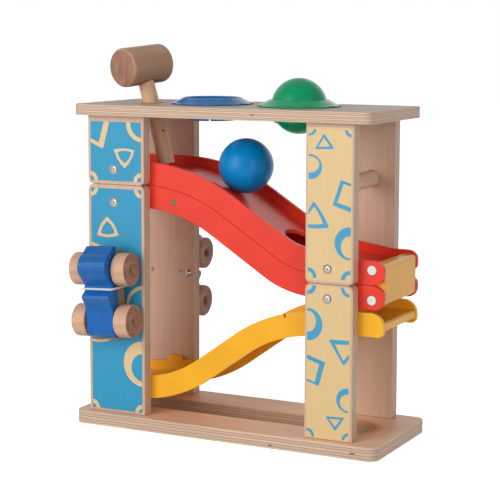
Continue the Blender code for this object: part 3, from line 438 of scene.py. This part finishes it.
def facing(normal, place):
    """A turned piece's matrix: its axis along a normal and its middle at a place."""
    turn = Vector((0, 0, 1)).rotation_difference(Vector(normal)).to_matrix().to_4x4()
    return Matrix.Translation(place) @ turn


def carve(obj, *shapes):
    """Cuts shapes out of an object for good, and removes them."""
    for shape in shapes:
        step = obj.modifiers.new("carve", "BOOLEAN")
        step.operation = "DIFFERENCE"
        step.solver = "EXACT"
        step.object = shape
    graph = bpy.context.evaluated_depsgraph_get()
    mesh = bpy.data.meshes.new_from_object(obj.evaluated_get(graph))
    obj.modifiers.clear()
    obj.data = mesh
    for shape in shapes:
        bpy.data.objects.remove(shape, do_unlink=True)


# Prints on the front panels: every shape is an outer and an inner outline with as many points

def outline(corners, radius, bow=0.0, steps=5):
    """A closed line with rounded corners, whose sides may bow outwards, from anticlockwise corners."""
    line = []
    count = len(corners)
    cut = [round_corner(corner, corners[i - 1], corners[(i + 1) % count], radius, steps)
           for i, corner in enumerate(corners)]
    for i, points in enumerate(cut):
        line += points
        a, b = Vector(points[-1]), Vector(cut[(i + 1) % count][0])
        out = Vector((b.y - a.y, a.x - b.x)).normalized()
        for k in range(1, steps):
            t = k / steps
            line.append(tuple(a.lerp(b, t) + out * bow * 4 * t * (1 - t)))
    return line


def oval(centre, half_width, half_height, steps=48):
    return [(centre[0] + half_width * math.cos(math.tau * i / steps),
             centre[1] + half_height * math.sin(math.tau * i / steps)) for i in range(steps)]


def between(outer, inner):
    """The faces of a drawn line between its two outlines."""
    count = len(outer)
    return [[outer[i], outer[(i + 1) % count], inner[(i + 1) % count], inner[i]] for i in range(count)]


def ring(centre, radius, width):
    return between(oval(centre, radius + width / 2, radius + width / 2),
                   oval(centre, radius - width / 2, radius - width / 2))


def crescent(outer_centre, outer_half, inner_centre, inner_half):
    """A ring whose line swells to one side."""
    return between(oval(outer_centre, *outer_half), oval(inner_centre, *inner_half))


def polygon(outer, inner, radius=0.0022, bow=0.0):
    """A triangle or square drawn in lines of uneven width, from its outer and inner corners."""
    return between(outline(outer, radius, bow), outline(inner, radius * 0.3, bow))


def shallow_arc(left, step, lowest, bend, middle, below, above, steps=10):
    """An arc that curves up to both sides of its lowest place, which is middle steps from its left end."""
    under, over = [[(left + step * k, lowest + bend * (k - middle) ** 2 + rise) for k in range(steps + 1)]
                   for rise in (below, above)]
    return [[under[k], under[k + 1], over[k + 1], over[k]] for k in range(steps)]


def inked(name, shapes, window, material, lift, body):
    """Flat shapes on a front panel, trimmed to a window (x0, z0, x1, z1) and just proud of the wood."""
    form = bmesh.new()
    for number, faces in enumerate(shapes):
        for face in faces:
            form.faces.new([form.verts.new((x, -SHAPE_STEP * number, z)) for x, z in face])
    x0, z0, x1, z1 = window
    for point, out in (((x0, 0, 0), (-1, 0, 0)), ((x1, 0, 0), (1, 0, 0)),
                       ((0, 0, z0), (0, 0, -1)), ((0, 0, z1), (0, 0, 1))):
        geometry = form.verts[:] + form.edges[:] + form.faces[:]
        bmesh.ops.bisect_plane(form, geom=geometry, plane_co=point, plane_no=out, clear_outer=True)
    bmesh.ops.remove_doubles(form, verts=form.verts, dist=0.000001)
    grown = bmesh.ops.extrude_face_region(form, geom=form.faces[:])
    top = [v for v in grown["geom"] if isinstance(v, bmesh.types.BMVert)]
    bmesh.ops.translate(form, verts=top, vec=(0, -PRINT_THICK, 0))
    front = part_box("front_left_lower_panel")[0].y
    obj = from_form(name, form, material, Matrix.Translation((0, front - lift, 0)), False)
    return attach(obj, body)


def ground(name, window, radius, material, body, screw):
    """The printed ground of a panel, with a hole round its screw."""
    x0, z0, x1, z1 = window
    corners = [(x0, z0), (x1, z0), (x1, z1), (x0, z1)]
    plate = inked(name, [[outline(corners, radius)]], window, material, GROUND_LIFT, body)
    low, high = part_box(screw)
    middle = (low + high) / 2
    rim = SCREW_HEAD + 2 * GAP
    hole = lathe("print_hole", [(0.0, 0.01), (rim, 0.01), (rim, -0.01), (0.0, -0.01)], None,
                 facing((0, -1, 0), (middle.x, low.y, middle.z)), 32)
    carve(plate, hole)


def corners_of(window, radius, width, inset):
    """Quarter rings in the corners of a window, their centres a little outside it."""
    x0, z0, x1, z1 = window
    return [ring((x, z), radius, width) for x in (x0 - inset, x1 + inset) for z in (z0 - inset, z1 + inset)]


def prints():
    """The plain shapes printed on the four front panels, on a blue or a sand ground."""
    blue, sand = printed("ink_blue_ground", PRINT_BLUE), printed("ink_sand_ground", PRINT_SAND)
    sand_line, blue_line = printed("ink_sand_line", LINE_SAND), printed("ink_blue_line", LINE_BLUE)

    win = (-0.1353, 0.2258, -0.0823, 0.2794)
    ground("print_ground_left_upper", win, 0.0010, blue, "upper_frame", "upper_left_front_screw")
    shapes = [crescent((-0.0808, 0.2785), (0.0167, 0.0167), (-0.0805, 0.2788), (0.0126, 0.0132)),
              polygon([(-0.1113, 0.2547), (-0.0993, 0.2370), (-0.0883, 0.2547)],
                      [(-0.1069, 0.2523), (-0.0992, 0.2421), (-0.0919, 0.2528)], 0.0028, 0.0011),
              polygon([(-0.1493, 0.2660), (-0.1221, 0.2545), (-0.1093, 0.3005), (-0.1493, 0.3195)],
                      [(-0.1493, 0.2695), (-0.1265, 0.2602), (-0.1153, 0.2995), (-0.1493, 0.3095)]),
              *[ring((x, 0.2261), 0.0061, 0.0036) for x in (-0.1357, -0.0821)]]
    inked("print_lines_left_upper", shapes, win, sand_line, LINE_LIFT, "upper_frame")

    win = (-0.1351, 0.0145, -0.0820, 0.2188)
    ground("print_ground_left_lower", win, 0.0010, blue, "lower_frame", "lower_left_front_screw")
    shapes = [polygon([(-0.1302, 0.1748), (-0.1049, 0.1758), (-0.1183, 0.1942)],
                      [(-0.1253, 0.1774), (-0.1100, 0.1781), (-0.1180, 0.1892)], 0.0034, 0.0012),
              ring((-0.1373, 0.1433), 0.0238, 0.0032), ring((-0.0798, 0.1130), 0.0172, 0.0034),
              crescent((-0.0808, 0.0598), (0.0206, 0.0210), (-0.0808, 0.0564), (0.0124, 0.0129)),
              *corners_of(win, 0.0062, 0.0037, 0.0004)]
    shapes.append(shallow_arc(-0.1400, 0.0028, 0.0768, 0.000114, 3.5, -0.0008, 0.0015))
    inked("print_lines_left_lower", shapes, win, sand_line, LINE_LIFT, "lower_frame")

    win = (0.0830, 0.1522, 0.1223, 0.2794)
    ground("print_ground_right_upper", (0.0822, 0.1500, 0.1232, 0.2812), 0.0040, sand, "upper_frame",
           "upper_right_front_screw")
    shapes = [polygon([(0.0885, 0.2622), (0.1068, 0.2632), (0.0970, 0.2760)],
                      [(0.0919, 0.2644), (0.1026, 0.2651), (0.0969, 0.2724)], 0.0018),
              crescent((0.0845, 0.2474), (0.0109, 0.0106), (0.0840, 0.2493), (0.0089, 0.0070)),
              polygon([(0.1055, 0.2155), (0.1300, 0.2078), (0.1300, 0.2320), (0.1130, 0.2373)],
                      [(0.1097, 0.2180), (0.1300, 0.2120), (0.1300, 0.2300), (0.1154, 0.2340)], 0.0012),
              polygon([(0.0760, 0.1948), (0.1028, 0.1962), (0.0880, 0.2185)],
                      [(0.0795, 0.1984), (0.0970, 0.1991), (0.0883, 0.2138)], bow=0.0007),
              crescent((0.1215, 0.1836), (0.0139, 0.0140), (0.1219, 0.1806), (0.0086, 0.0095)),
              ring((0.0835, 0.2800), 0.0053, 0.0024), ring((0.1228, 0.2798), 0.0054, 0.0026),
              ring((0.0830, 0.1530), 0.0063, 0.0032), ring((0.1225, 0.1520), 0.0070, 0.0035)]
    inked("print_lines_right_upper", shapes, win, blue_line, LINE_LIFT, "upper_frame")

    win = (0.0826, 0.0138, 0.1217, 0.1459)
    ground("print_ground_right_lower", (0.0822, 0.0126, 0.1232, 0.1462), 0.0040, sand, "lower_frame",
           "lower_right_front_screw")
    shapes = [crescent((0.0829, 0.1118), (0.0140, 0.0141), (0.0825, 0.1144), (0.0084, 0.0093)),
              polygon([(0.1169, 0.0785), (0.1345, 0.1010), (0.1028, 0.1002)],
                      [(0.1166, 0.0827), (0.1290, 0.0974), (0.1086, 0.0966)], 0.0018),
              polygon([(0.0750, 0.0645), (0.0936, 0.0586), (0.0998, 0.0799), (0.0750, 0.0876)],
                      [(0.0750, 0.0664), (0.0900, 0.0617), (0.0943, 0.0777), (0.0750, 0.0840)], 0.0008),
              crescent((0.1214, 0.0488), (0.0110, 0.0107), (0.1216, 0.0469), (0.0080, 0.0073)),
              polygon([(0.1094, 0.0208), (0.1182, 0.0336), (0.1003, 0.0330)],
                      [(0.1093, 0.0244), (0.1147, 0.0316), (0.1036, 0.0312)], 0.0016),
              ring((0.0825, 0.1460), 0.0066, 0.0034), ring((0.1220, 0.1460), 0.0069, 0.0029),
              ring((0.0830, 0.0140), 0.0056, 0.0025), ring((0.1223, 0.0140), 0.0053, 0.0024)]
    inked("print_lines_right_lower", shapes, win, blue_line, LINE_LIFT, "lower_frame")


def fine_balls():
    """Smooth balls in place of the frame's faceted ones."""
    profile = [(BALL_RADIUS * math.sin(math.pi * i / 32), BALL_RADIUS * math.cos(math.pi * i / 32))
               for i in range(33)]
    profile[0], profile[-1] = (0.0, BALL_RADIUS), (0.0, -BALL_RADIUS)
    for node, body, colour in (("blue_ball", "rolling_ball", BALL_BLUE),
                               ("green_ball", "held_ball", BALL_GREEN)):
        low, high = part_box(node)
        material = painted(f"gloss_{node}", colour, 0.28, "X")
        ball = lathe(f"fine_{node}", profile, material, Matrix.Translation((low + high) / 2))
        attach(ball, body)
        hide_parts(node)


def mallet():
    """The turned head with its rounded arrises and the handle, over the frame's plain ones."""
    lean = math.radians(HANDLE_LEAN)
    up = Vector((-math.sin(lean), 0, math.cos(lean)))
    low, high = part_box("mallet_head")
    middle = (low + high) / 2
    axis = Matrix.Rotation(-math.radians(HEAD_TURN), 4, up) @ Vector((0, 1, 0))
    half, r = HEAD_LENGTH / 2, HEAD_RADIUS
    corner = round_corner((r, half), (0, half), (r, 0), HEAD_ARRIS, 7)
    profile = [(0.0, half)] + corner + [(u, -v) for u, v in reversed(corner)] + [(0.0, -half)]
    wood = timber("mallet_beech", "Z", MALLET_PALE, MALLET_DARK, ends=half)
    head = lathe("fine_mallet_head", profile, wood, facing(axis, middle), 72)
    bore, depth = HANDLE_RADIUS + GAP, HANDLE_IN_HEAD + GAP
    socket = lathe("mallet_socket", [(0.0, depth), (bore, depth), (bore, -r * 2), (0.0, -r * 2)], None,
                   facing(up, middle), 48)
    carve(head, socket)

    low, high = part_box("mallet_handle")
    r = HANDLE_RADIUS
    half = (high.z - low.z - 2 * r * up.xy.length) / up.z / 2
    foot = round_corner((r, -half), (r, 0), (0, -half), 0.0009, 4)
    profile = [(0.0, half), (r, half)] + foot + [(0.0, -half)]
    wood = timber("handle_beech", "Z", HANDLE_PALE, HANDLE_DARK, HANDLE_KNOTS)
    grip = lathe("fine_mallet_handle", profile, wood, facing(up, (low + high) / 2), 40)
    for obj, node, slot in ((head, "mallet_head", "beech"), (grip, "mallet_handle", "birch")):
        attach(obj, "mallet")
        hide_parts(node)


def hinge_pins():
    """White pins with a dimple in each end, over the frame's plain ones."""
    for unit in ("lower", "upper"):
        low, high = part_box(f"{unit}_hinge_pin")
        half, r = (high.y - low.y) / 2, PIN_RADIUS
        end = [(0.0, half - 0.0010), (0.0011, half - 0.0009), (0.0016, half - 0.0001), (0.0019, half)]
        end += round_corner((r, half), (0, half), (r, 0), 0.0006, 3)
        profile = end + [(u, -v) for u, v in reversed(end)]
        pin = lathe(f"fine_{unit}_pin", profile, moulded(f"pin_white_{unit}", PIN_WHITE, 0.35, 0.0003),
                    facing((0, 1, 0), (low + high) / 2), 40)
        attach(pin, f"{unit}_frame")
        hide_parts(f"{unit}_hinge_pin")


def wheel_profile():
    """Half a wheel's section: its bore's lip, its rounded rim, and both again on the other side."""
    half, r, bore = WHEEL_WIDTH / 2, WHEEL_RADIUS, WHEEL_BORE
    outer = round_corner((r, half), (0, half), (r, 0), 0.0016, 4)
    lip = round_corner((bore, half), (bore, 0), (r, half), 0.0006, 2)
    one_side = lip + outer
    return one_side + [(u, -v) for u, v in reversed(one_side)]


def wheels():
    """Turned wheels with rounded rims in place of the frame's plain ones."""
    material = timber("wheel_beech", "Z", WHEEL_PALE, WHEEL_DARK, ends=WHEEL_WIDTH / 2)
    for colour in ("blue", "green"):
        for end in ("top", "bottom"):
            boxes = {hand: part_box(f"{colour}_{end}_{hand}_wheel") for hand in ("left", "right")}
            middles = {hand: (low + high) / 2 for hand, (low, high) in boxes.items()}
            axis = (middles["right"] - middles["left"]).normalized()
            for hand, middle in middles.items():
                node = f"{colour}_{end}_{hand}_wheel"
                wheel = lathe(f"fine_{node}", wheel_profile(), material, facing(axis, middle), 56, True)
                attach(wheel, f"{colour}_{end}_wheels")
                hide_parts(node)


def screw_heads():
    """Countersunk heads with a cross recess, each in place of a frame screw."""
    steel = metal("zinc", STEEL, 0.42, 0.6)
    names = [n for n in frame["nodes"] if n.endswith("_screw")]
    for node in sorted(names):
        low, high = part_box(node)
        middle = (low + high) / 2
        if node.startswith("base_"):
            face, inward, length = Vector((middle.x, middle.y, low.z)), Vector((0, 0, 1)), high.z - low.z
        elif "_front_" in node:
            face, inward, length = Vector((middle.x, low.y, middle.z)), Vector((0, 1, 0)), high.y - low.y
        else:
            face, inward, length = Vector((middle.x, high.y, middle.z)), Vector((0, -1, 0)), high.y - low.y
        r, shank = SCREW_FACE, SCREW_SHANK
        profile = [(0.0, -0.0002), (r * 0.85, -0.0002), (r, -0.0005), (shank, -(r - shank) - 0.0006),
                   (shank, -length), (0.0, -length)]
        head = lathe(f"fine_{node}", profile, steel, facing(-inward, face), 28)
        cross = []
        for k in (0, 1):
            blade = bmesh.new()
            bmesh.ops.create_cube(blade, size=1.0)
            bmesh.ops.scale(blade, vec=(r * 1.15, r * 0.24, 2 * SCREW_SHANK), verts=blade.verts)
            turn = Matrix.Rotation(math.radians(22 + 90 * k), 4, "Z")
            cross.append(from_form(f"cross_{k}", blade, None, facing(-inward, face) @ turn, False))
        carve(head, *cross)
        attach(head, "upper_frame" if node.startswith("upper") else "lower_frame")
        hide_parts(node)


def stretch_cords():
    """The elastics: a braided copy of each, in place of the frame's, with its place baked into its mesh."""
    for colour, side in (("blue", -1), ("green", 1)):
        node = frame["nodes"][f"{colour}_elastic"]
        cord = node.copy()
        cord.data = node.data.copy()
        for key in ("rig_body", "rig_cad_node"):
            del cord[key]
        cord.name = f"{colour}_stretch_elastic"
        cord.parent = None
        bpy.context.scene.collection.objects.link(cord)
        cord.data.materials.clear()
        cord.data.materials.append(woven(f"{colour}_braid", ELASTIC))
        cord.data.shade_smooth()
        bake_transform(cord)
        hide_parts(f"{colour}_elastic")


def finishes():
    """Gives every frame node its material."""
    # The panels' veneer is darkened as painted shade
    panel = plywood("ply_panel", 1, PANEL_BETWEEN, "Z", 5, BIRCH_PANEL_SHADED, glue_width=0.28)
    chassis = timber("chassis_beech_shaded", "Z", CHASSIS_SHADED_PALE, CHASSIS_SHADED_DARK)
    axle = timber("birch_axle_shaded", "X", AXLE_SHADED_PALE, AXLE_SHADED_DARK)
    red = moulded("red_moulding", RED)
    steel = metal("steel_small", STEEL)
    by_node = {
        # The base's veneer is brightened as painted light
        "base_board": plywood("ply_base", 2, BASE_BETWEEN, "X", 5, BIRCH_BASE_LIT, BASE_VOIDS, glue_width=0.16,
                              slotted=True),
        # The top board's veneer is darkened as painted shade
        "top_board": plywood("ply_top", 2, TOP_BETWEEN, "X", 7, BIRCH_TOP_SHADED, TOP_VOIDS, seed=1.0),
        "lower_ramp": red,
        "upper_ramp": red,
        "return_ramp": moulded("yellow_moulding", YELLOW),
        "hinge_link": moulded("ochre_moulding", OCHRE),
        "blue_ring": moulded("ring_blue", RING_BLUE, 0.2),
        "green_ring": moulded("ring_green", RING_GREEN, 0.2),
        "cross_dowel": timber("birch_across", "Y", DOWEL_PALE, DOWEL_DARK),
        "side_rivet": moulded("rivet_green", RING_GREEN),
        "blue_car_body": painted("car_blue", CAR_BLUE),
        "green_car_body": painted("car_green", CAR_GREEN),
        "blue_car_chassis": chassis,
        "green_car_chassis": chassis,
    }
    for name, node in frame["nodes"].items():
        if name.endswith("_panel"):
            material = panel
        elif name.endswith("_axle"):
            material = axle
        else:
            material = by_node.get(name, steel)
        node.data.materials.clear()
        node.data.materials.append(material)


def background_rays(tree):
    """1 for the rays that show the white background: camera, glossy and transmission rays."""
    rays = tree.nodes.new("ShaderNodeLightPath").outputs
    seen = rays["Is Camera Ray"]
    for kind in ("Is Glossy Ray", "Is Transmission Ray"):
        either = tree.nodes.new("ShaderNodeMath")
        either.operation = "MAXIMUM"
        tree.links.new(seen, either.inputs[0])
        tree.links.new(rays[kind], either.inputs[1])
        seen = either.outputs[0]
    return seen


def floor():
    """A plain pale floor."""
    form = bmesh.new()
    bmesh.ops.create_circle(form, cap_ends=True, segments=64, radius=FLOOR_RADIUS)
    graph = Graph("floor_paper", 0.9)
    graph.shader.inputs["Base Color"].default_value = (0.82, 0.82, 0.82, 1.0)
    graph.wire(graph.shader.inputs["Emission Strength"],
               graph.math("MULTIPLY", background_rays(graph.tree), FLOOR_GLOW))
    graph.shader.inputs["Emission Color"].default_value = (1, 1, 1, 1)
    disc = from_form("floor", form, graph.material, Matrix.Translation((0, 0, -FLOOR_DROP)), False)


def world():
    """White where it is seen; its light fades from the horizon to overhead."""
    studio = bpy.data.worlds.new("studio")
    bpy.context.scene.world = studio
    studio.use_nodes = True
    tree = studio.node_tree
    ways = tree.nodes.new("ShaderNodeSeparateXYZ")
    tree.links.new(tree.nodes.new("ShaderNodeTexCoord").outputs["Generated"], ways.inputs[0])
    fading = tree.nodes.new("ShaderNodeMapRange")
    fading.inputs["From Max"].default_value = OVERHEAD_FROM
    fading.inputs["To Min"].default_value, fading.inputs["To Max"].default_value = WORLD_LIGHT
    tree.links.new(ways.outputs["Z"], fading.inputs["Value"])
    strength = tree.nodes.new("ShaderNodeMapRange")
    tree.links.new(fading.outputs[0], strength.inputs["To Min"])
    strength.inputs["To Max"].default_value = 1.0
    tree.links.new(background_rays(tree), strength.inputs["Value"])
    background = tree.nodes["Background"]
    background.inputs["Color"].default_value = (1, 1, 1, 1)
    tree.links.new(strength.outputs[0], background.inputs["Strength"])


def lamps():
    """Soft round lamps aimed at the middle of the part."""
    for name, place, size, watts in LAMPS:
        light = bpy.data.lights.new(name, "AREA")
        light.shape = "DISK"
        light.size = size
        light.energy = watts
        lamp = bpy.data.objects.new(name, light)
        bpy.context.scene.collection.objects.link(lamp)
        aim = Vector(LAMP_TARGET) - Vector(place)
        lamp.rotation_euler = aim.to_track_quat("-Z", "Y").to_euler()
        lamp.location = place


def camera():
    """The photograph's viewpoint."""
    data = bpy.data.cameras.new("camera")
    data.lens = CAMERA_LENS
    data.sensor_width = 36.0
    data.shift_y = CAMERA_SHIFT
    viewer = bpy.data.objects.new("camera", data)
    bpy.context.scene.collection.objects.link(viewer)
    forward = Vector((-math.sin(CAMERA_YAW) * math.cos(CAMERA_PITCH),
                      math.cos(CAMERA_YAW) * math.cos(CAMERA_PITCH), -math.sin(CAMERA_PITCH)))
    right = Matrix.Rotation(CAMERA_ROLL, 3, -forward) @ Vector((math.cos(CAMERA_YAW), math.sin(CAMERA_YAW), 0))
    columns = Matrix((right, right.cross(forward), -forward)).transposed().to_4x4()
    viewer.matrix_world = Matrix.Translation(CAMERA_PLACE) @ columns
    bpy.context.scene.camera = viewer
    bpy.context.scene.view_settings.view_transform = "Standard"


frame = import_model()
finishes()
prints()
fine_balls()
mallet()
hinge_pins()
wheels()
screw_heads()
stretch_cords()
floor()
world()
lamps()
camera()
